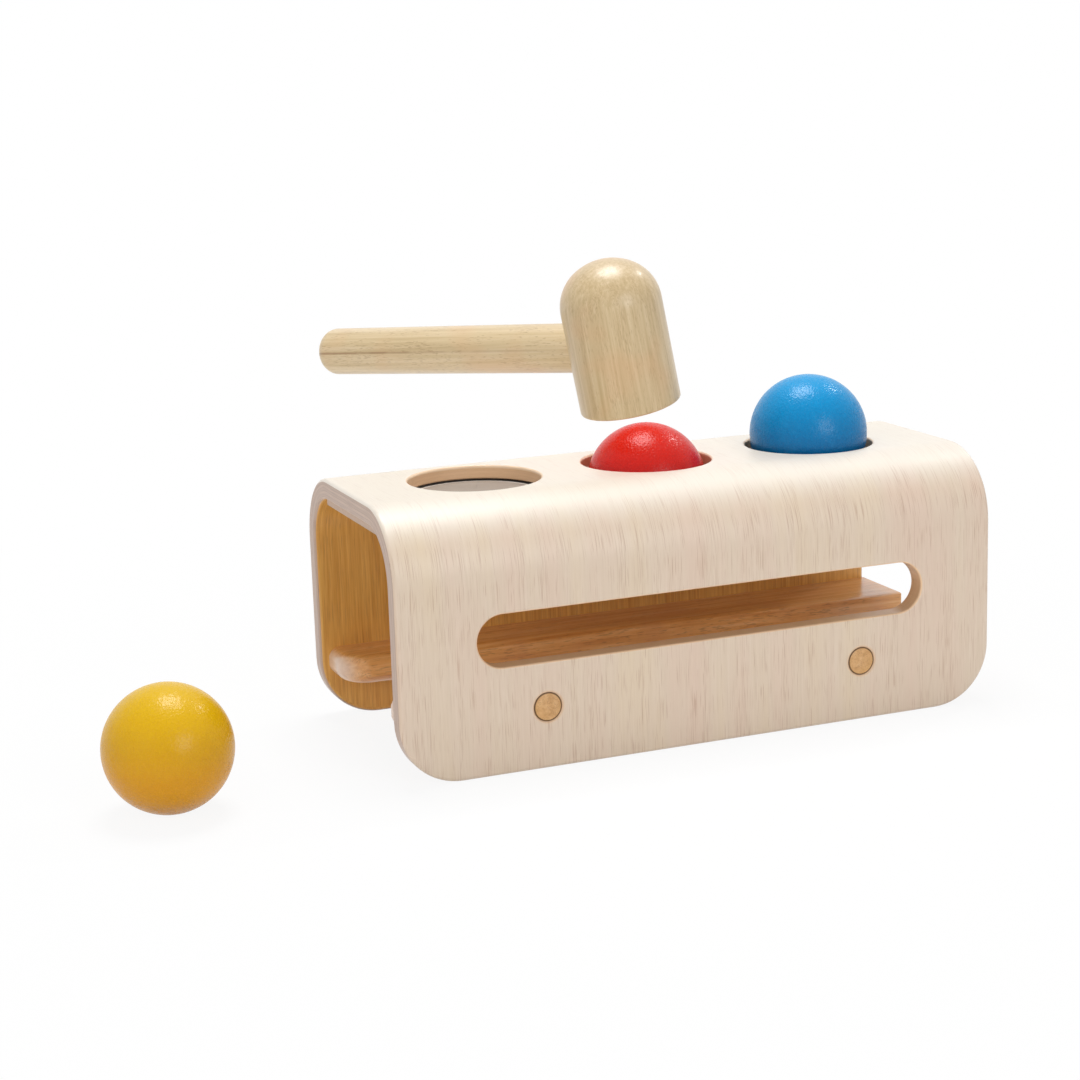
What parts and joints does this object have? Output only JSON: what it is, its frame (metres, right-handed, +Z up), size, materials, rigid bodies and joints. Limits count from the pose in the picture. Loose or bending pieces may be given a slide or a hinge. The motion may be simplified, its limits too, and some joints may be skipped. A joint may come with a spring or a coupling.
{
  "type": "ball pounding bench",
  "caption": "Bent plywood pounding bench: slit rubber grips hold painted balls in round holes, a domed wooden hammer drives them through, and two spreading rails under the top lead them out.",
  "frame": {"origin": "middle of the front leg's standing edge, on the surface the bench stands on", "axes": "+X along the bench away from the end where the balls roll out, +Y from the slotted front leg to the rear leg, +Z up"},
  "size_m": [0.3418, 0.1932, 0.1765],
  "materials": {
    "bent_plywood": "clear satin varnish on pressed plywood",
    "grip_rubber": "matte moulded rubber",
    "retainer_board": "matte grey sheet",
    "screw_steel": "zinc-plated steel",
    "rail_wood": "oiled warm brown wood",
    "plug_wood": "turned dowel, end grain out",
    "blue_paint": "semi-gloss water-based blue paint on wood",
    "red_paint": "semi-gloss water-based red paint on wood",
    "yellow_paint": "semi-gloss water-based yellow paint on wood",
    "hammer_wood": "turned pale wood, satin",
    "handle_wood": "turned pale wood dowel, satin"
  },
  "bodies": {
    "bench": {"bent_plywood_body": "bent_plywood", "grip_left": "grip_rubber", "grip_middle": "grip_rubber", "grip_right": "grip_rubber", "retainer_strip": "retainer_board", "retainer_screws": "screw_steel", "front_rail": "rail_wood", "rear_rail": "rail_wood", "front_rail_screws": "screw_steel", "rear_rail_screws": "screw_steel", "front_plugs": "plug_wood", "rear_plugs": "plug_wood"},
    "blue_ball": {"blue_ball": "blue_paint"},
    "red_ball": {"red_ball": "red_paint"},
    "yellow_ball": {"yellow_ball": "yellow_paint"},
    "hammer": {"hammer_head": "hammer_wood", "hammer_handle": "handle_wood"}
  },
  "joints": [
    {"name": "blue_ball_drop", "type": "slide", "parent": "bench", "child": "blue_ball", "axis": [0, 0, 1], "range_m": [-0.0567, 0.045], "deforming": ["grip_right"]},
    {"name": "red_ball_drop", "type": "slide", "parent": "bench", "child": "red_ball", "axis": [0, 0, 1], "range_m": [-0.0476, 0], "deforming": ["grip_middle"]},
    {"name": "yellow_ball_roll", "type": "slide", "parent": "bench", "child": "yellow_ball", "axis": [1, 0, 0], "range_m": [-0.06, 0.05]},
    {"name": "hammer_swing", "type": "hinge", "parent": "bench", "child": "hammer", "pos_m": [-0.08514, 0.17978, 0.13152], "axis": [-0.8719, -0.4897, 0], "range_deg": [-2.5, 60]}
  ]
}
